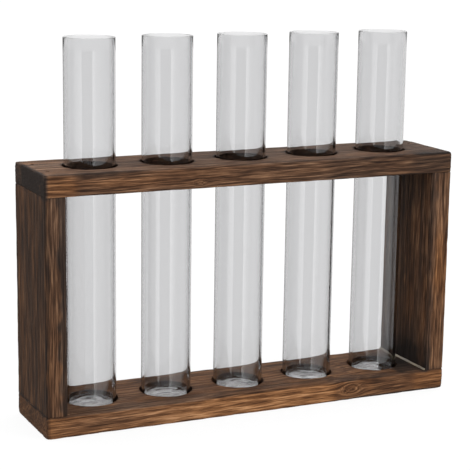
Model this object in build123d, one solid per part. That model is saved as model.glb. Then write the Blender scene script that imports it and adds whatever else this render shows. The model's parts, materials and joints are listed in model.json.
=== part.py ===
from build123d import *

import os

# A wooden rack with five flat-bottomed glass tubes standing upright in one row.
# Millimetres. +X runs along the rack, +Y to its back and +Z up.
# The origin is on the resting surface, under the middle of the rack.

# Rack: driving dimensions
RACK_WIDTH = 265.0
RACK_DEPTH = 55.0
RACK_HEIGHT = 153.0
BOARD_THICKNESS = 13.0
ARRIS_RADIUS = 0.8

# Tubes: driving dimensions
TUBE_COUNT = 5
TUBE_PITCH = 48.0
TUBE_OUTER_DIAMETER = 30.0
TUBE_LENGTH = 218.5
WALL_THICKNESS = 1.6
FLOOR_THICKNESS = 2.8
HEEL_RADIUS = 2.4
INNER_HEEL_RADIUS = 2.5

# Holes that hold the tubes
HOLE_DIAMETER = 32.0
SOCKET_DEPTH = 5.0

# Brads that pin the butt joints, two to a corner
BRAD_LENGTH = 30.0
BRAD_SHANK_RADIUS = 0.6
BRAD_HEAD_RADIUS = 0.95
BRAD_HEAD_THICKNESS = 0.8
BRAD_POINT_LENGTH = 2.0
BRAD_FROM_MIDDLE = 13.75

# Bead of dried glue in the corner between the right upright and the base board
GLUE_LEG = 1.3

# Places that follow from the dimensions above
UPRIGHT_HEIGHT = RACK_HEIGHT - 2 * BOARD_THICKNESS
UPRIGHT_CENTRE_X = (RACK_WIDTH - BOARD_THICKNESS) / 2
UPRIGHT_INNER_X = RACK_WIDTH / 2 - BOARD_THICKNESS
SOCKET_FLOOR_Z = BOARD_THICKNESS - SOCKET_DEPTH
TUBE_PLACES = [(i - (TUBE_COUNT - 1) / 2) * TUBE_PITCH for i in range(TUBE_COUNT)]


def bar(length_x, length_y, length_z, centre_x, bottom_z, rounded_along):
    """One plank, standing on bottom_z, with its long arrises along one axis rounded."""
    plank = Pos(centre_x, 0, bottom_z + length_z / 2) * Box(length_x, length_y, length_z)
    return fillet(plank.edges().filter_by(rounded_along), ARRIS_RADIUS)


def brad(centre_x, centre_y, head_z, upwards):
    """One brad, its head flush with head_z and its point driven up or down from there."""
    shank_end = BRAD_LENGTH - BRAD_POINT_LENGTH
    half_section = Polyline(
        (0, 0),
        (BRAD_HEAD_RADIUS, 0),
        (BRAD_HEAD_RADIUS, BRAD_HEAD_THICKNESS),
        (BRAD_SHANK_RADIUS, BRAD_HEAD_THICKNESS),
        (BRAD_SHANK_RADIUS, shank_end),
        (0, BRAD_LENGTH),
        close=True,
    )
    driven_up = revolve(Plane.XZ * make_face(half_section), Axis.Z)
    if upwards:
        return Pos(centre_x, centre_y, head_z) * driven_up
    return Pos(centre_x, centre_y, head_z) * Rot(180, 0, 0) * driven_up


def all_brads():
    """Every brad by name: two at each end of the top board and two at each end of the base."""
    brads = {}
    for board, head_z, upwards in (("top", RACK_HEIGHT, False), ("base", 0.0, True)):
        for side, centre_x in (("left", -UPRIGHT_CENTRE_X), ("right", UPRIGHT_CENTRE_X)):
            for place, centre_y in (("front", -BRAD_FROM_MIDDLE), ("back", BRAD_FROM_MIDDLE)):
                name = f"brad_{board}_{side}_{place}"
                brads[name] = brad(centre_x, centre_y, head_z, upwards)
    return brads


def top_board():
    """The upper board, bored right through once for each tube."""
    bottom_z = RACK_HEIGHT - BOARD_THICKNESS
    board = bar(RACK_WIDTH, RACK_DEPTH, BOARD_THICKNESS, 0, bottom_z, Axis.X)
    for place in TUBE_PLACES:
        middle_z = RACK_HEIGHT - BOARD_THICKNESS / 2
        board -= Pos(place, 0, middle_z) * Cylinder(HOLE_DIAMETER / 2, BOARD_THICKNESS)
    return board


def base_board():
    """The lower board, with a shallow flat-floored socket for each tube."""
    board = bar(RACK_WIDTH, RACK_DEPTH, BOARD_THICKNESS, 0, 0, Axis.X)
    for place in TUBE_PLACES:
        middle_z = BOARD_THICKNESS - SOCKET_DEPTH / 2
        board -= Pos(place, 0, middle_z) * Cylinder(HOLE_DIAMETER / 2, SOCKET_DEPTH)
    return board


def upright(centre_x):
    """One end board, standing between the base board and the top board."""
    return bar(BOARD_THICKNESS, RACK_DEPTH, UPRIGHT_HEIGHT, centre_x, BOARD_THICKNESS, Axis.Z)


def glue_bead():
    """The thin three-cornered bead along the foot of the right upright's inner face."""
    half_depth = RACK_DEPTH / 2 - ARRIS_RADIUS
    corner = Polyline(
        (UPRIGHT_INNER_X, BOARD_THICKNESS),
        (UPRIGHT_INNER_X - GLUE_LEG, BOARD_THICKNESS),
        (UPRIGHT_INNER_X, BOARD_THICKNESS + GLUE_LEG),
        close=True,
    )
    section = Plane.XZ * make_face(corner)
    return Pos(0, half_depth, 0) * extrude(section, 2 * half_depth, dir=(0, -1, 0))


def tube(centre_x):
    """One glass tube: a flat floor with a rounded heel, a straight wall and a rounded rim."""
    outer = TUBE_OUTER_DIAMETER / 2
    inner = outer - WALL_THICKNESS
    rim_radius = WALL_THICKNESS / 2
    rim_z = TUBE_LENGTH - rim_radius
    heel_turn = RadiusArc((outer - HEEL_RADIUS, 0), (outer, HEEL_RADIUS), -HEEL_RADIUS)
    inner_heel_turn = RadiusArc(
        (inner, FLOOR_THICKNESS + INNER_HEEL_RADIUS),
        (inner - INNER_HEEL_RADIUS, FLOOR_THICKNESS),
        INNER_HEEL_RADIUS,
    )
    outline = [
        Line((0, 0), (outer - HEEL_RADIUS, 0)),
        heel_turn,
        Line((outer, HEEL_RADIUS), (outer, rim_z)),
        ThreePointArc((outer, rim_z), (inner + rim_radius, TUBE_LENGTH), (inner, rim_z)),
        Line((inner, rim_z), (inner, FLOOR_THICKNESS + INNER_HEEL_RADIUS)),
        inner_heel_turn,
        Line((inner - INNER_HEEL_RADIUS, FLOOR_THICKNESS), (0, FLOOR_THICKNESS)),
        Line((0, FLOOR_THICKNESS), (0, 0)),
    ]
    half_section = Plane.XZ * make_face(Wire(outline))
    return Pos(centre_x, 0, SOCKET_FLOOR_Z) * revolve(half_section, Axis.Z)


def build_parts():
    """Every node's solid by name, with the boards cut to fit the brads."""
    brads = all_brads()
    boards = {
        "top_board": top_board(),
        "base_board": base_board(),
        "left_upright": upright(-UPRIGHT_CENTRE_X),
        "right_upright": upright(UPRIGHT_CENTRE_X),
    }
    for name in boards:
        for one_brad in brads.values():
            boards[name] -= one_brad
    tubes = {f"tube_{i + 1}": tube(place) for i, place in enumerate(TUBE_PLACES)}
    return {**boards, **tubes, **brads, "glue_bead": glue_bead()}


os.makedirs("parts", exist_ok=True)
for node, solid in build_parts().items():
    export_step(solid, f"parts/{node}.step")
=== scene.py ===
"""The looks of a burnt and brushed wooden rack with five glass tubes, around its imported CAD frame."""

import json
import math

import bpy
import numpy as np
from mathutils import Matrix, Vector


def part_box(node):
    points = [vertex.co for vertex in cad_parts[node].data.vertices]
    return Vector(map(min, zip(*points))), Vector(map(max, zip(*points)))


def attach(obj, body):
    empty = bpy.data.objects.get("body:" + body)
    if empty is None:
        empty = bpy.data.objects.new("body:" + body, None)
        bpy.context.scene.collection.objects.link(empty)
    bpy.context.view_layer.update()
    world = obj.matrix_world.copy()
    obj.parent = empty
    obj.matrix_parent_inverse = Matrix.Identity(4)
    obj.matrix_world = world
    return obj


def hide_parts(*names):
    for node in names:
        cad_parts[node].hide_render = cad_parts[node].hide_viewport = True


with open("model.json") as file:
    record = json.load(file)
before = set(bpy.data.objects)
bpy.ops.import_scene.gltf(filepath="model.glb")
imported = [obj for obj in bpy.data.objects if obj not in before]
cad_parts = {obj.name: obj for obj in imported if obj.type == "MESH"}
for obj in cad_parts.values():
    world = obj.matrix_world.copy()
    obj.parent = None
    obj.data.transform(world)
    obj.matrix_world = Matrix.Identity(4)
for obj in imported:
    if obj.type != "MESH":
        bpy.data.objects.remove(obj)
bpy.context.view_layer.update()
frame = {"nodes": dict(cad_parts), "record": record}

MM = 0.001

# ------------------------------------------------------------ places and sizes, from the frame

TUBES = sorted(node for node in frame["nodes"] if node.startswith("tube_"))
BRADS = sorted(node for node in frame["nodes"] if node.startswith("brad_"))
TOP_LOW, TOP_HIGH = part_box("top_board")
BASE_LOW, BASE_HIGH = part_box("base_board")
TUBE_LOW, TUBE_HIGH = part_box(TUBES[0])
TUBE_RADIUS = (TUBE_HIGH.x - TUBE_LOW.x) / 2
TUBE_INNER_RADIUS = next(
    mount["dims"]["r_mm"] * MM for mount in frame["record"]["mounts"] if mount["kind"] == "bore"
)
TUBE_CENTRES = [(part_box(node)[0].x + TUBE_RADIUS, 0.0) for node in TUBES]
HOLE_RADIUS = TUBE_RADIUS + 1.0 * MM
FOOT_THICKNESS = 2.8 * MM
OUTER_HEEL = 2.4 * MM
INNER_HEEL = 0.9 * MM  # the CAD has 2.5 mm here
RIM_ROUNDING = 0.35 * MM
PUNT = 0.3 * MM  # how hollow a tube's underside is

# The camera: where it stands (m), how it is turned, and its lens on a 36 mm sensor.
CAMERA_PLACE = (-0.38812, -0.82120, 0.29298)
VIEW_YAW = math.radians(25.125)
VIEW_PITCH = math.radians(11.72)
VIEW_ROLL = math.radians(0.831)
LENS = 116.785
SENSOR = 36

# How bright the surround is below the horizon, as tuned: degrees to the camera's right, level.
PANELS = (
    (-180, 0.15),
    (-110, 0.20),
    (-60, 1.00),
    (-28.5, 2.40),
    (-27, 0.00),
    (18.0, 0.00),
    (19.0, 3.00),
    (36, 1.50),
    (90, 0.60),
    (180, 1.00),
)
HORIZON = 1.03
OVERHEAD = 2.4
FLOOR_RADIUS = 20.0
FLOOR_DROP = 0.2 * MM
KEY_PLACE = (0.9, -1.1, 1.1)
KEY_SIZE = 0.8
KEY_POWER = 9

# ------------------------------------------------------------ smooth noise for shapes


def lattice(cells, seed):
    """A repeatable number from 0 to 1 for each whole-numbered cell."""
    x, y, z = (cells[..., i].astype(np.uint64) for i in range(3))
    mixed = x * np.uint64(73856093) ^ y * np.uint64(19349663) ^ z * np.uint64(83492791)
    mixed = mixed + np.uint64(seed * 2654435761)
    mixed = (mixed ^ (mixed >> np.uint64(15))) * np.uint64(2246822519)
    mixed = (mixed ^ (mixed >> np.uint64(13))) * np.uint64(3266489917)
    return ((mixed ^ (mixed >> np.uint64(16))) & np.uint64(0xFFFFFF)).astype(float) / 0xFFFFFF


def noise(points, seed):
    """Value noise from 0 to 1 at each point, smooth between whole numbers."""
    floor = np.floor(points)
    part = points - floor
    ease = part * part * (3 - 2 * part)
    cells = floor.astype(np.int64) + 4096
    total = np.zeros(points.shape[:-1])
    for corner in np.ndindex(2, 2, 2):
        weight = np.ones(points.shape[:-1])
        for i, side in enumerate(corner):
            weight = weight * (ease[..., i] if side else 1 - ease[..., i])
        total += weight * lattice(cells + np.array(corner), seed)
    return total


def smooth(low, high, values):
    """0 below low and 1 above high, with a smooth step between."""
    t = np.clip((values - low) / (high - low), 0, 1)
    return t * t * (3 - 2 * t)


# ------------------------------------------------------------ mesh helpers


def new_piece(name, points, faces, material):
    """A mesh object from its points and faces, smooth but for its sharp corners."""
    mesh = bpy.data.meshes.new(name)
    mesh.from_pydata([tuple(p) for p in points], [], [tuple(f) for f in faces])
    mesh.validate()
    mesh.shade_smooth()
    piece = bpy.data.objects.new(name, mesh)
    bpy.context.scene.collection.objects.link(piece)
    if material:
        mesh.materials.append(material)
    return piece


def arc(centre_r, centre_z, radius, start, end, steps):
    """Points (r, z) round an arc, its angles in degrees."""
    turns = np.radians(np.linspace(start, end, steps + 1))
    return [(centre_r + radius * math.cos(t), centre_z + radius * math.sin(t)) for t in turns]


def lathe(outline, segments, centre):
    """Points and faces of a closed outline of (r, z), turned about the upright line through centre.

    An outline that starts and ends on the axis closes there in a point."""
    points, rows = [], []
    for radius, z in outline:
        if radius < 1e-9:
            rows.append([len(points)] * segments)
            points.append((centre[0], centre[1], z))
            continue
        rows.append(list(range(len(points), len(points) + segments)))
        for i in range(segments):
            turn = 2 * math.pi * i / segments
            points.append((centre[0] + radius * math.cos(turn), centre[1] + radius * math.sin(turn), z))
    faces = []
    for lower, upper in zip(rows, rows[1:] + rows[:1]):
        if lower[0] == lower[1] and upper[0] == upper[1]:
            continue
        for i in range(segments):
            j = (i + 1) % segments
            corners = [lower[i], lower[j], upper[j], upper[i]]
            faces.append([c for k, c in enumerate(corners) if c != corners[k - 1]])
    return points, faces


# ------------------------------------------------------------ the wood's grain

# Each board: the axis its grain runs along, where its pith lies beside it (mm), how burnt and how
# warm it is on the whole (0 to 1), and a seed.
BOARDS = {
    "top_board": {"grain": 0, "pith": (26.0, 96.0), "burnt_and_shade": 0.20, "warm": 0.45, "seed": 11},
    "base_board": {"grain": 0, "pith": (34.0, -41.0), "burnt_and_shade": -0.06, "warm": 0.85, "seed": 23},
    "left_upright": {"grain": 2, "pith": (-80.0, 22.0), "burnt_and_shade": 0.30, "warm": 0.50, "seed": 37},
    "right_upright": {"grain": 2, "pith": (70.0, -18.0), "burnt_and_shade": 0.20, "warm": 0.60, "seed": 53},
}
RING_PITCH = 2.3
ARRIS = 0.8 * MM
RELIEF_DEPTH = 0.22 * MM
WALL_RELIEF = 0.35 * MM
HOUSING = 0.5 * MM  # how far the uprights run into the boards, which hides their worn ends

# Places where a board is more or less burnt, or more or less warm, than the rest of it, and faces given
# painted shade or a painted sheen:
# board, middle (mm), reach (mm), change in burn and painted shade, change in warmth.
TONES = (
    ("top_board", (-124, -27, 146), (12, 12, 9), -0.25, 0.30),
    ("top_board", (-82, -27, 146), (22, 5, 4), -0.20, 0.00),
    ("top_board", (-100, -27, 152), (13, 4, 3), 0.35, -0.10),
    ("top_board", (88, -27, 146), (56, 10, 10), 0.22, -0.05),
    ("top_board", (122, -27, 146), (22, 10, 10), 0.20, -0.05),
    ("top_board", (-132, -12, 146), (1.2, 30, 14), 1.00, -0.60),
    ("top_board", (-132, 20, 146), (1.2, 12, 11), 0.60, -0.20),
    # Painted sheen: the top board's top face is made lighter and greyer, as the sheen of light on it
    # would make it.
    ("top_board", (0, 0, 153), (180, 40, 1.3), -0.13, -0.40),
    ("top_board", (-122, 0, 153), (16, 40, 1.3), -0.08, 0.10),
    ("top_board", (124, 0, 153), (18, 40, 1.3), 0.42, -0.10),
    ("base_board", (-6, -27, 6), (90, 6, 14), -0.16, 0.10),
    ("base_board", (0, -27, 6), (60, 6, 10), -0.05, 0.10),
    ("base_board", (66, -27, 6), (16, 4, 9), 0.26, -0.20),
    ("base_board", (96, -27, 6), (20, 4, 9), 0.28, -0.20),
    ("base_board", (124, -27, 6), (12, 4, 9), 0.12, 0.00),
    # Painted shade: a darker strip along the front of the base's top face, which lies under the top
    # board.
    ("base_board", (-10, -24, 13), (130, 8, 1.3), 0.20, -0.40),
    ("base_board", (96, -27, 0), (48, 4, 2), 0.40, -0.20),
    ("base_board", (112, -8, 13), (11, 24, 2), 0.72, -0.40),
    # Painted shade: the base's whole top face is darkened, as it lies under the top board.
    ("base_board", (0, 0, 13), (180, 40, 1.3), 0.24, -0.20),
    ("base_board", (-132, 0, 6), (1.2, 40, 11), 0.66, 0.10),
    # Painted shade: the left upright's outer face is darkened, as it faces away from the light.
    ("left_upright", (-132, 0, 76), (2.5, 40, 90), 0.46, 0.50),
    ("left_upright", (-120, -27, 76), (4.5, 4, 90), 0.40, -0.50),
    # Painted shade: the right upright's inner face is darkened, as it lies in shade under the top board.
    ("right_upright", (120, 0, 76), (2.2, 24, 90), 0.45, -0.10),
    ("right_upright", (120, -6, 80), (3, 9, 46), -0.20, 0.20),
    # Painted shade: these three deepen it towards the corner where the right upright meets the base.
    ("right_upright", (120, -6, 13), (3, 60, 9), 0.25, -0.10),
    ("right_upright", (120, -6, 13), (3, 60, 17), 0.18, -0.10),
    ("right_upright", (120, -6, 13), (3, 60, 30), 0.12, -0.10),
    ("right_upright", (120, -27, 76), (3.5, 4, 90), 0.28, -0.20),
    ("right_upright", (128, -27, 82), (5, 4, 24), -0.12, 0.20),
)

# Knots that run through a board from front to back: along its grain, up from its middle, radius (mm).
KNOTS = {"base_board": ((66.0, 0.5, 3.4),), "top_board": ((-38.0, -3.0, 1.6),)}


def grain_place(board, points):
    """(along the grain, across it, across it) in mm, measured from the board's own middle."""
    low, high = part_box(board)
    middle = np.array([(low[i] + high[i]) / 2 for i in range(3)])
    grain = BOARDS[board]["grain"]
    others = [i for i in range(3) if i != grain]
    return ((points - middle) / MM)[..., [grain, *others]]


def flowing(board, place):
    """Bends the grain: a slow wander, a drift towards one end, and a swirl round each knot."""
    seed = BOARDS[board]["seed"]
    bent = place.copy()
    slow = place / np.array([60.0, 40.0, 40.0])
    bent[..., 1] += 2.0 * (noise(slow, seed + 1) - 0.5)
    bent[..., 2] += 2.0 * (noise(slow, seed + 2) - 0.5)
    quick = place / np.array([17.0, 8.0, 8.0])
    bent[..., 1] += 0.6 * (noise(quick, seed + 13) - 0.5)
    bent[..., 2] += 0.6 * (noise(quick, seed + 14) - 0.5)
    if board == "top_board":
        bent[..., 2] -= 0.034 * np.maximum(place[..., 0] - 40.0, 0)
    for along, up, radius in KNOTS.get(board, ()):
        beside = (place[..., 0] - along) / 1.9
        above = place[..., 2] - up
        reach = np.hypot(beside, above)
        pushed = up + above * (1 - (radius / np.maximum(reach, radius)) ** 2)
        inside = reach < radius
        swirl = smooth(3.2 * radius, radius, reach)
        bent[..., 2] = bent[..., 2] * (1 - swirl) + pushed * swirl
        bent[..., 2] = np.where(inside, 2.0 * reach, bent[..., 2])
        bent[..., 0] = np.where(inside, along + 4 * np.arctan2(above, beside), bent[..., 0])
    return bent


def figure(board, points):
    """How high the brushed grain stands (0 in a groove, 1 on a ridge) at each point."""
    seed = BOARDS[board]["seed"]
    place = flowing(board, grain_place(board, points))
    pith = np.array(BOARDS[board]["pith"])
    ring = np.hypot(place[..., 1] - pith[0], place[..., 2] - pith[1]) / RING_PITCH
    ring = (ring + 0.9 * noise(place / np.array([70.0, 9.0, 9.0]), seed + 3)) % 1
    late = smooth(0.3, 0.75, ring) * (1 - smooth(0.85, 1.0, ring))
    fibre = smooth(0.25, 0.75, noise(place / np.array([21.0, 0.75, 0.75]), seed + 4))
    fine = smooth(0.25, 0.75, noise(place / np.array([9.0, 0.45, 0.45]), seed + 5))
    return 0.22 * late + 0.40 * fibre + 0.38 * fine


def hole_gap(points):
    """How far each point lies outside the nearest hole's wall, in mm."""
    reach = [np.hypot(points[..., 0] - x, points[..., 1] - y) for x, y in TUBE_CENTRES]
    return (np.min(reach, axis=0) - HOLE_RADIUS) / MM


def tones(board, points):
    """How burnt each point is, with the painted shade and painted sheen of some faces added in (below 0
    where the torch hardly touched it), and how warm its colour.
    """
    seed = BOARDS[board]["seed"]
    grain = BOARDS[board]["grain"]
    low, high = (np.array(corner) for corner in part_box(board))
    place = grain_place(board, points)
    patches = noise(place / np.array([34.0, 10.0, 10.0]), seed + 7)
    streaks = noise(place / np.array([26.0, 2.2, 2.2]), seed + 8)
    burnt_and_shade = BOARDS[board]["burnt_and_shade"] + 0.30 * (patches - 0.5) + 0.30 * (streaks - 0.5)
    warm = BOARDS[board]["warm"] + 0.7 * (noise(place / np.array([50.0, 9.0, 9.0]), seed + 9) - 0.5)
    wobble = 5 * (noise(points / (6 * MM), seed + 10)[..., None] - 0.5)
    # Some of these places paint shade or a sheen into a face, not burn.
    for name, middle, reach, burn_and_shade_change, warm_change in TONES:
        if name == board:
            reach = np.array(reach)
            distance = np.abs(points / MM - np.array(middle))
            away = (distance + wobble * (reach > 3)) / reach
            share = np.prod(1 - smooth(0.6, 1.0, away), axis=-1)
            burnt_and_shade = burnt_and_shade + burn_and_shade_change * share
            warm = warm + warm_change * share
    to_faces = np.minimum(points - low, high - points) / MM
    nearest_two = np.sort(to_faces, axis=-1)[..., 1]
    arris = 1 - smooth(0.1, 1.4, nearest_two)
    burnt_and_shade = burnt_and_shade + arris * 0.9 * (noise(points / (9 * MM), seed + 6) - 0.35)
    end = 1 - smooth(0.1, 0.5, to_faces[..., grain])
    burnt_and_shade = burnt_and_shade + end * np.maximum(0.55 - burnt_and_shade, 0)
    if board in ("top_board", "base_board"):
        gap = hole_gap(points)
        ragged = gap + 1.2 * (noise(points / (3 * MM), seed + 12) - 0.5)
        width = 1.3 if board == "top_board" else 0.4
        burnt_and_shade = burnt_and_shade + (1 - smooth(0.0, width, ragged)) * np.maximum(0.7 - burnt_and_shade, 0)
        wall = 0.25 + 0.65 * noise(points / (2.6 * MM), seed + 16)
        burnt_and_shade = np.where(gap < 0.08, wall, burnt_and_shade)
    return np.clip(burnt_and_shade, -0.5, 1), np.clip(warm, 0, 1)


# ------------------------------------------------------------ boards


def cut_lines(low, high, spacing):
    """Grid lines from low to high, with three more over the rounded arris at each end."""
    count = max(2, round((high - low - 2 * ARRIS) / spacing))
    turn = [ARRIS * (1 - math.tan(math.radians(angle))) for angle in (45, 30, 15)]
    inner = np.linspace(low + ARRIS, high - ARRIS, count + 1)
    return np.array([low + s for s in turn] + list(inner) + [high - s for s in reversed(turn)])


def block(low, high, spacing):
    """Points and faces of a box whose surface is a fine grid, its arrises not yet rounded."""
    lines = [cut_lines(low[i], high[i], spacing[i]) for i in range(3)]
    shape = [len(line) for line in lines]
    steps = np.indices(shape)
    outside = np.zeros(shape, bool)
    for i in range(3):
        outside |= (steps[i] == 0) | (steps[i] == shape[i] - 1)
    number = np.full(shape, -1)
    number[outside] = np.arange(outside.sum())
    points = np.stack([lines[i][steps[i][outside]] for i in range(3)], axis=-1)
    faces = []
    for axis in range(3):
        for side in (0, shape[axis] - 1):
            sheet = number.take(side, axis=axis)
            quads = [sheet[:-1, :-1], sheet[1:, :-1], sheet[1:, 1:], sheet[:-1, 1:]]
            quads = np.stack(quads, axis=-1).reshape(-1, 4)
            if (side == 0) == (axis != 1):
                quads = quads[:, ::-1]
            faces.extend(quads.tolist())
    return points, faces


def rounded(points, low, high):
    """The same points with every arris rounded."""
    inner = np.clip(points, low + ARRIS, high - ARRIS)
    outward = points - inner
    outward /= np.linalg.norm(outward, axis=-1, keepdims=True)
    return inner + ARRIS * outward


def cutter(outlines):
    """One hidden object to cut with, made of a turned outline at each place."""
    points, faces = [], []
    for outline, segments, centre in outlines:
        some_points, some_faces = lathe(outline, segments, centre)
        faces += [[i + len(points) for i in face] for face in some_faces]
        points += some_points
    return new_piece("cutter", points, faces, None)


def cut(piece, tool):
    """Takes the cutter's shape out of the piece and removes the cutter."""
    modifier = piece.modifiers.new("cut", "BOOLEAN")
    modifier.operation = "DIFFERENCE"
    modifier.solver = "EXACT"
    modifier.object = tool
    view = bpy.context.evaluated_depsgraph_get()
    carved = bpy.data.meshes.new_from_object(piece.evaluated_get(view))
    piece.modifiers.clear()
    piece.data = carved
    bpy.data.objects.remove(tool)


def hole_outline(bottom, top, lip, through):
    """A bore whose lips are a little worn where it breaks out of the wood."""
    out = 2 * MM
    rows = list(np.linspace(bottom + (lip if through else 0), top - lip, 15))
    if through:
        outline = [(0, bottom - out), (HOLE_RADIUS + lip, bottom - out), (HOLE_RADIUS + lip, bottom)]
    else:
        outline = [(0, bottom)] + [(HOLE_RADIUS * share, bottom) for share in (0.25, 0.5, 0.75)]
    outline += [(HOLE_RADIUS, z) for z in rows]
    outline += [(HOLE_RADIUS + 0.3 * lip, top - 0.3 * lip), (HOLE_RADIUS + lip, top)]
    outline += [(HOLE_RADIUS + lip, top + out), (0, top + out)]
    return outline


def pit_outline(surface, inward):
    """The small pit a sunk brad head leaves, in from a flat surface."""
    radius, depth, out = 1.05 * MM, 0.42 * MM, 0.5 * MM
    ends = sorted((surface + inward * depth, surface - inward * out))
    return [(0, ends[0]), (radius, ends[0]), (radius, ends[1]), (0, ends[1])]


def brad_points(board):
    """Each brad of this board: its centre and the height of its head's surface."""
    edge = board.split("_")[0]
    for node in BRADS:
        if f"_{edge}_" in node:
            low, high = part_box(node)
            yield ((low.x + high.x) / 2, (low.y + high.y) / 2), high.z if edge == "top" else low.z


def wear(points, low, high, seed):
    """How deep the arrises and corners are worn away, in metres."""
    _, second, third = np.moveaxis(np.sort(np.minimum(points - low, high - points) / MM, axis=-1), -1, 0)
    arris = 1 - smooth(0.0, 1.5, second)
    outer = np.minimum(np.abs(points[:, 2] - TOP_HIGH.z), np.abs(points[:, 2] - BASE_LOW.z)) < 3 * MM
    corner = (1 - smooth(0.0, 3.0, third)) * outer
    chips = noise(points / (4.5 * MM), seed + 15) ** 2
    return arris * (0.35 * chips + 0.55 * corner) * MM


def hollows(board, low, high):
    """Everything bored or punched into a board, as outlines to turn and take away."""
    if board == "top_board":
        for centre in TUBE_CENTRES:
            yield hole_outline(low[2], high[2], 0.4 * MM, True), 128, centre
        for centre, surface in brad_points(board):
            yield pit_outline(surface, -1), 20, centre
    if board == "base_board":
        for centre in TUBE_CENTRES:
            yield hole_outline(TUBE_LOW.z, high[2], 0.15 * MM, False), 128, centre
        for centre, surface in brad_points(board):
            yield pit_outline(surface, 1), 20, centre


def carved_board(board, material):
    """One board as a fine mesh: rounded, bored, and with its grain standing proud."""
    low, high = (np.array(corner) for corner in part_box(board))
    if "upright" in board:
        low[2] -= HOUSING
        high[2] += HOUSING
    spacing = [0.42 * MM] * 3
    spacing[BOARDS[board]["grain"]] = 1.9 * MM
    points, faces = block(low, high, spacing)
    points = rounded(points, low, high)
    piece = new_piece(f"{board}_wood", points, faces, material)
    outlines = list(hollows(board, low, high))
    if outlines:
        cut(piece, cutter(outlines))
    mesh = piece.data
    count = len(mesh.vertices)
    flat = np.zeros(count * 3)
    mesh.vertices.foreach_get("co", flat)
    points = flat.reshape(-1, 3)
    facing = np.zeros(count * 3, np.float32)
    mesh.vertex_normals.foreach_get("vector", facing)
    facing = facing.reshape(-1, 3)
    ridge = figure(board, points)
    # tones returns painted shade and a painted sheen on some faces, together with the burn.
    burnt_and_shade, warm = tones(board, points)
    for name, values in (("ridge", ridge), ("burnt_and_shade", burnt_and_shade), ("warm", warm)):
        attribute = mesh.attributes.new(name, "FLOAT", "POINT")
        attribute.data.foreach_set("value", values.astype(np.float32))
    place = flowing(board, grain_place(board, points)) + BOARDS[board]["seed"] * 7.0
    attribute = mesh.attributes.new("grain_place", "FLOAT_VECTOR", "POINT")
    attribute.data.foreach_set("vector", place.astype(np.float32).ravel())
    depth = RELIEF_DEPTH * (1 - ridge) + wear(points, low, high, BOARDS[board]["seed"])
    if outlines:
        on_wall = (hole_gap(points) < 0.05) & (np.abs(facing[:, 2]) < 0.5)
        depth = depth + WALL_RELIEF * on_wall * noise(points / (2.2 * MM), BOARDS[board]["seed"] + 20)
    moved = points - facing * depth[:, None]
    mesh.vertices.foreach_set("co", moved.ravel())
    mesh.update()
    mesh.shade_smooth()
    mesh.set_sharp_from_angle(angle=math.radians(55))
    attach(piece, "rack")
    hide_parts(board)
    return piece


# ------------------------------------------------------------ materials


def fresh_material(name):
    """A new node material: its tree, its shader and the material itself."""
    material = bpy.data.materials.new(name)
    material.use_nodes = True
    return material, material.node_tree, material.node_tree.nodes["Principled BSDF"]


def maths(tree, operation, first, second):
    """A maths node; each input is a number or another node's socket."""
    node = tree.nodes.new("ShaderNodeMath")
    node.operation = operation
    for socket, value in zip(node.inputs, (first, second)):
        if isinstance(value, (int, float)):
            socket.default_value = value
        else:
            tree.links.new(value, socket)
    return node.outputs[0]


def attribute(tree, name, output):
    """Reads one of the mesh's own attributes."""
    node = tree.nodes.new("ShaderNodeAttribute")
    node.attribute_name = name
    return node.outputs[output]


def stretched_noise(tree, place, scale, detail):
    """Noise along the grain: scale is per mm along it and across it."""
    mapping = tree.nodes.new("ShaderNodeMapping")
    mapping.vector_type = "POINT"
    mapping.inputs["Scale"].default_value = scale
    tree.links.new(place, mapping.inputs["Vector"])
    node = tree.nodes.new("ShaderNodeTexNoise")
    node.inputs["Scale"].default_value = 1.0
    node.inputs["Detail"].default_value = detail
    node.inputs["Roughness"].default_value = 0.6
    tree.links.new(mapping.outputs["Vector"], node.inputs["Vector"])
    return node.outputs[0]


def spread(tree, value, low, high):
    """Stretches a value so that low becomes 0 and high becomes 1."""
    node = tree.nodes.new("ShaderNodeMapRange")
    node.inputs["From Min"].default_value = low
    node.inputs["From Max"].default_value = high
    tree.links.new(value, node.inputs["Value"])
    return node.outputs["Result"]


def colours(tree, factor, stops):
    """A colour ramp through the given (place, colour) stops."""
    node = tree.nodes.new("ShaderNodeValToRGB")
    ramp = node.color_ramp
    while len(ramp.elements) < len(stops):
        ramp.elements.new(0.5)
    for element, (where, colour) in zip(ramp.elements, stops):
        element.position = where
        element.color = (*colour, 1)
    tree.links.new(factor, node.inputs["Fac"])
    return node.outputs["Color"]


def mixed(tree, factor, first, second):
    """Two colours mixed by a factor."""
    node = tree.nodes.new("ShaderNodeMix")
    node.data_type = "RGBA"
    for socket, value in zip((node.inputs[0], node.inputs[6], node.inputs[7]), (factor, first, second)):
        if isinstance(value, (int, float)):
            socket.default_value = value
        elif isinstance(value, tuple):
            socket.default_value = (*value, 1)
        else:
            tree.links.new(value, socket)
    return node.outputs[2]


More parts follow.
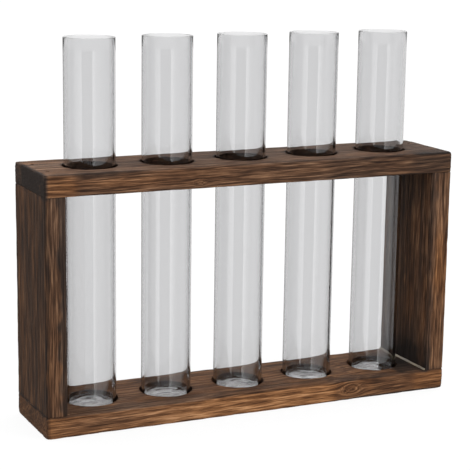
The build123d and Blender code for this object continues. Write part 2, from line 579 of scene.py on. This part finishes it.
def torched_wood():
    """Wood burnt with a torch and brushed: dark grooves, warm ridges, black where burnt most, and darker
    where shade is painted in.
    """
    material, tree, shader = fresh_material("torched_wood")
    place = attribute(tree, "grain_place", "Vector")
    ridge = attribute(tree, "ridge", "Fac")
    burnt_and_shade = attribute(tree, "burnt_and_shade", "Fac")
    warmth = attribute(tree, "warm", "Fac")
    hair = spread(tree, stretched_noise(tree, place, (0.07, 2.1, 2.1), 3.0), 0.33, 0.67)
    height = maths(tree, "ADD", maths(tree, "MULTIPLY", ridge, 0.5), maths(tree, "MULTIPLY", hair, 0.5))
    untouched = maths(tree, "MAXIMUM", maths(tree, "MULTIPLY", burnt_and_shade, -0.7), 0.0)
    height = maths(tree, "ADD", height, untouched)
    warm = colours(
        tree,
        height,
        [
            (0.10, (0.019, 0.0078, 0.0034)),
            (0.34, (0.052, 0.0215, 0.0090)),
            (0.56, (0.112, 0.0480, 0.0190)),
            (0.76, (0.200, 0.0930, 0.0390)),
            (0.98, (0.330, 0.1750, 0.0840)),
        ],
    )
    dull = colours(
        tree,
        height,
        [
            (0.12, (0.013, 0.0075, 0.0050)),
            (0.38, (0.038, 0.0215, 0.0140)),
            (0.66, (0.100, 0.0600, 0.0400)),
            (0.95, (0.240, 0.1550, 0.1050)),
        ],
    )
    char = mixed(tree, height, (0.0060, 0.0048, 0.0045), (0.023, 0.0160, 0.0128))
    body = mixed(tree, warmth, dull, warm)
    # The burn factor mixes towards char; on some faces it also carries painted shade.
    tree.links.new(mixed(tree, burnt_and_shade, body, char), shader.inputs["Base Color"])
    roughness = maths(tree, "ADD", 0.70, maths(tree, "MULTIPLY", hair, 0.25))
    tree.links.new(roughness, shader.inputs["Roughness"])
    shader.inputs["Specular IOR Level"].default_value = 0.07
    bump = tree.nodes.new("ShaderNodeBump")
    bump.inputs["Strength"].default_value = 0.6
    bump.inputs["Distance"].default_value = 0.2 * MM
    tree.links.new(hair, bump.inputs["Height"])
    tree.links.new(bump.outputs["Normal"], shader.inputs["Normal"])
    return material


def clear_glass():
    """Glass tinted grey, deeper where more of it is looked through.

    The tint is far stronger than real clear glass has: two walls absorb about a quarter of the light.
    It is painted shade: it makes the tubes as grey against white as the real ones look, standing in for a
    dimmer surround seen through them."""
    material, tree, shader = fresh_material("clear_glass")
    shader.inputs["Base Color"].default_value = (0.92, 0.92, 0.925, 1)
    shader.inputs["Roughness"].default_value = 0.0
    shader.inputs["IOR"].default_value = 1.5
    shader.inputs["Transmission Weight"].default_value = 1.0
    depth = tree.nodes.new("ShaderNodeVolumeAbsorption")
    depth.inputs["Color"].default_value = (0.50, 0.50, 0.505, 1)
    depth.inputs["Density"].default_value = 190.0
    tree.links.new(depth.outputs["Volume"], tree.nodes["Material Output"].inputs["Volume"])
    return material


def dried_glue():
    """Dried wood glue with dust in it."""
    material, tree, shader = fresh_material("dried_glue")
    place = tree.nodes.new("ShaderNodeTexCoord").outputs["Object"]
    grime = stretched_noise(tree, place, (400, 90, 400), 4.0)
    tint = colours(tree, grime, [(0.3, (0.055, 0.040, 0.024)), (0.7, (0.20, 0.16, 0.10))])
    tree.links.new(tint, shader.inputs["Base Color"])
    roughness = maths(tree, "ADD", 0.3, maths(tree, "MULTIPLY", grime, 0.3))
    tree.links.new(roughness, shader.inputs["Roughness"])
    return material


def darkened_steel():
    """Steel brads, darkened by the torch."""
    material, tree, shader = fresh_material("darkened_steel")
    place = tree.nodes.new("ShaderNodeTexCoord").outputs["Object"]
    stain = stretched_noise(tree, place, (900, 900, 900), 3.0)
    tint = colours(tree, stain, [(0.3, (0.02, 0.017, 0.015)), (0.75, (0.14, 0.11, 0.09))])
    tree.links.new(tint, shader.inputs["Base Color"])
    roughness = maths(tree, "ADD", 0.35, maths(tree, "MULTIPLY", stain, 0.3))
    tree.links.new(roughness, shader.inputs["Roughness"])
    shader.inputs["Metallic"].default_value = 0.9
    return material


def pale_floor():
    """A plain near-white floor that the light keeps bright."""
    material, tree, shader = fresh_material("pale_floor")
    shader.inputs["Base Color"].default_value = (0.07, 0.07, 0.07, 1)
    shader.inputs["Roughness"].default_value = 1.0
    shader.inputs["Specular IOR Level"].default_value = 0.0
    shader.inputs["Emission Color"].default_value = (1, 1, 1, 1)
    shader.inputs["Emission Strength"].default_value = 0.88
    return material


# ------------------------------------------------------------ the glass tubes


def tube_outline():
    """One tube from the middle of its underside, up the outside and down the inside."""
    heel, inner_heel, lip = OUTER_HEEL, INNER_HEEL, RIM_ROUNDING
    floor_top = TUBE_LOW.z + FOOT_THICKNESS
    foot = TUBE_RADIUS - heel
    inner_foot = TUBE_INNER_RADIUS - inner_heel
    outline = [(0, TUBE_LOW.z + PUNT)]
    for share in (0.15, 0.3, 0.45, 0.6, 0.75, 0.88):
        outline.append((foot * share, TUBE_LOW.z + PUNT * (1 - share**2)))
    outline += arc(foot, TUBE_LOW.z + heel, heel, -90, 0, 8)
    rows = list(np.linspace(TUBE_LOW.z + heel, TUBE_HIGH.z - lip, 25)[1:-1])
    outline += [(TUBE_RADIUS, z) for z in rows]
    outline += arc(TUBE_RADIUS - lip, TUBE_HIGH.z - lip, lip, 0, 90, 5)
    outline += arc(TUBE_INNER_RADIUS + lip, TUBE_HIGH.z - lip, lip, 90, 180, 5)
    outline += [(TUBE_INNER_RADIUS, z) for z in reversed(rows[1:])]
    outline += arc(inner_foot, floor_top + inner_heel, inner_heel, 0, -90, 8)
    for share in (0.92, 0.84, 0.76, 0.68, 0.6, 0.52, 0.44, 0.36, 0.28, 0.2, 0.12, 0.06):
        outline.append((inner_foot * share, floor_top))
    outline.append((0, floor_top))
    return outline


def uneven_floor(points, seed):
    """Gives the glass inside the foot the slight waves that moulding leaves."""
    points = np.array(points)
    low = TUBE_LOW.z + 1.8 * MM
    inside = (points[:, 2] > low) & (points[:, 2] < TUBE_LOW.z + 3.4 * MM)
    middle = points[:, :2].mean(axis=0)
    reach = np.hypot(*(points[:, :2] - middle).T)
    inside &= reach < TUBE_INNER_RADIUS - INNER_HEEL
    waves = noise(points / np.array([5.0, 3.2, 400.0]) / MM, seed) - 0.5
    rings = np.sin(reach / (0.72 * MM) + 2 * noise(points / (9 * MM), seed + 1))
    fade = 1 - smooth(0.85, 1.0, reach / (TUBE_INNER_RADIUS - INNER_HEEL))
    points[:, 2] += inside * fade * (0.42 * waves + 0.07 * rings) * MM
    return points


def glass_tube(node, centre, material, seed):
    """One glass tube, standing in its socket."""
    points, faces = lathe(tube_outline(), 160, centre)
    piece = new_piece(f"{node}_glass", uneven_floor(points, seed), faces, material)
    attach(piece, node)
    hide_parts(node)
    return piece


# ------------------------------------------------------------ glue and brads


def glue_bead(material):
    """A thin uneven fillet of dried glue along the foot of the right upright."""
    low, high = (np.array(corner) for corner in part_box("glue_bead"))
    leg = high[2] - low[2]
    stations = np.linspace(low[1], high[1], 70)
    across = 8
    points, faces = [], []
    for y in stations:
        sample = np.array([[y / (4 * MM), 0.5, 0.5], [y / (1.3 * MM), 3.5, 0.5]])
        swell = 0.62 + 0.38 * noise(sample[:1], 5)[0] * (0.7 + 0.6 * noise(sample[1:], 6)[0]) / 1.3
        points.append((high[0] + 0.1 * MM, y, low[2] - 0.1 * MM))
        for k in range(across + 1):
            turn = math.pi / 2 * k / across
            reach = leg * swell * (0.72 + 0.28 * abs(math.cos(2 * turn)))
            points.append((high[0] - reach * math.cos(turn), y, low[2] + reach * math.sin(turn)))
    row = across + 2
    for i in range(len(stations) - 1):
        for k in range(row):
            j = (k + 1) % row
            faces.append([i * row + k, i * row + j, (i + 1) * row + j, (i + 1) * row + k])
    faces.append(list(range(row))[::-1])
    faces.append([(len(stations) - 1) * row + k for k in range(row)])
    piece = new_piece("glue_bead_dried", points, faces, material)
    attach(piece, "rack")
    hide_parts("glue_bead")
    return piece


def brad(node, material):
    """One brad: a flat head just below the wood's surface, a shank and a point."""
    low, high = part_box(node)
    head_up = low.z > BASE_HIGH.z
    surface, inward = (high.z, -1) if head_up else (low.z, 1)
    sunk, head, shank, point = 0.35 * MM, 0.94 * MM, 0.6 * MM, 2.0 * MM
    tip = high.z - low.z
    profile = [
        (0, sunk + 0.05 * MM),
        (0.5 * head, sunk + 0.04 * MM),
        (0.85 * head, sunk),
        (head, sunk + 0.12 * MM),
        (head, 0.7 * MM),
        (0.9 * head, 0.8 * MM),
        (shank, 0.95 * MM),
        (shank, tip - point),
        (0.5 * shank, tip - 0.45 * point),
        (0, tip),
    ]
    outline = [(radius, surface + inward * depth) for radius, depth in profile]
    if head_up:
        outline.reverse()
    centre = ((low.x + high.x) / 2, (low.y + high.y) / 2)
    points, faces = lathe(outline, 28, centre)
    piece = new_piece(f"{node}_steel", points, faces, material)
    piece.data.set_sharp_from_angle(angle=math.radians(50))
    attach(piece, "rack")
    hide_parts(node)
    return piece


# ------------------------------------------------------------ stage, light and camera


def studio(material):
    """A pale floor, the surround and one soft light."""
    turns = [2 * math.pi * i / 96 for i in range(96)]
    level = BASE_LOW.z - FLOOR_DROP
    points = [(FLOOR_RADIUS * math.cos(t), FLOOR_RADIUS * math.sin(t), level) for t in turns]
    floor = new_piece("floor", points, [list(range(96))], material)
    floor.visible_glossy = False
    surround()
    soft_light("key", KEY_PLACE, KEY_SIZE, KEY_POWER)


def surround():
    """Near white at the horizon and brighter overhead, with brighter and darker sectors below it.

    The floor hides the part below the horizon from all but mirrored rays, which do not see the floor."""
    world = bpy.data.worlds.new("surround")
    world.use_nodes = True
    tree = world.node_tree
    split = tree.nodes.new("ShaderNodeSeparateXYZ")
    tree.links.new(tree.nodes.new("ShaderNodeTexCoord").outputs["Generated"], split.inputs[0])
    across = weighted(tree, split, math.cos(VIEW_YAW), -math.sin(VIEW_YAW))
    towards = weighted(tree, split, -math.sin(VIEW_YAW), -math.cos(VIEW_YAW))
    turn = maths(tree, "ARCTAN2", across, towards)
    share = maths(tree, "ADD", maths(tree, "MULTIPLY", turn, 0.5 / math.pi), 0.5)
    panels = colours(tree, share, [(0.5 + angle / 360, (level,) * 3) for angle, level in PANELS])
    above = spread(tree, split.outputs["Z"], -0.05, -0.035)
    overhead = spread(tree, split.outputs["Z"], math.sin(math.radians(10)), math.sin(math.radians(16)))
    sky = mixed(tree, overhead, (HORIZON,) * 3, (OVERHEAD,) * 3)
    tree.links.new(mixed(tree, above, panels, sky), tree.nodes["Background"].inputs["Color"])
    tree.nodes["Background"].inputs["Strength"].default_value = 1.0
    bpy.context.scene.world = world


def weighted(tree, split, x_share, y_share):
    """The part of a level direction that points one way."""
    return maths(
        tree,
        "ADD",
        maths(tree, "MULTIPLY", split.outputs["X"], x_share),
        maths(tree, "MULTIPLY", split.outputs["Y"], y_share),
    )


def soft_light(name, place, size, power):
    """A square soft light aimed at the middle of the rack."""
    light = bpy.data.lights.new(name, "AREA")
    light.size = size
    light.energy = power
    lamp = bpy.data.objects.new(name, light)
    aim = Vector((0, 0, TOP_HIGH.z / 2)) - Vector(place)
    lamp.location = place
    lamp.rotation_euler = aim.to_track_quat("-Z", "Y").to_euler()
    bpy.context.scene.collection.objects.link(lamp)


def camera():
    """A long lens looking a little down from the left front."""
    data = bpy.data.cameras.new("camera")
    data.sensor_width = SENSOR
    data.lens = LENS
    view = bpy.data.objects.new("camera", data)
    yaw, pitch, roll = VIEW_YAW, VIEW_PITCH, VIEW_ROLL
    forward = Vector((math.sin(yaw) * math.cos(pitch), math.cos(yaw) * math.cos(pitch), -math.sin(pitch)))
    level = Vector((math.cos(yaw), -math.sin(yaw), 0))
    upward = level.cross(forward)
    right = math.cos(roll) * level + math.sin(roll) * upward
    up = -math.sin(roll) * level + math.cos(roll) * upward
    turn = Matrix((right, up, -forward)).transposed().to_4x4()
    view.matrix_world = Matrix.Translation(CAMERA_PLACE) @ turn
    bpy.context.scene.collection.objects.link(view)
    bpy.context.scene.camera = view


# ------------------------------------------------------------ put it together

camera()
studio(pale_floor())
bpy.context.scene.view_settings.view_transform = "Standard"

WOOD = torched_wood()
for board in BOARDS:
    carved_board(board, WOOD)
GLASS = clear_glass()
for number, (node, centre) in enumerate(zip(TUBES, TUBE_CENTRES)):
    glass_tube(node, centre, GLASS, 70 + 3 * number)
STEEL = darkened_steel()
for node in BRADS:
    brad(node, STEEL)
glue_bead(dried_glue())
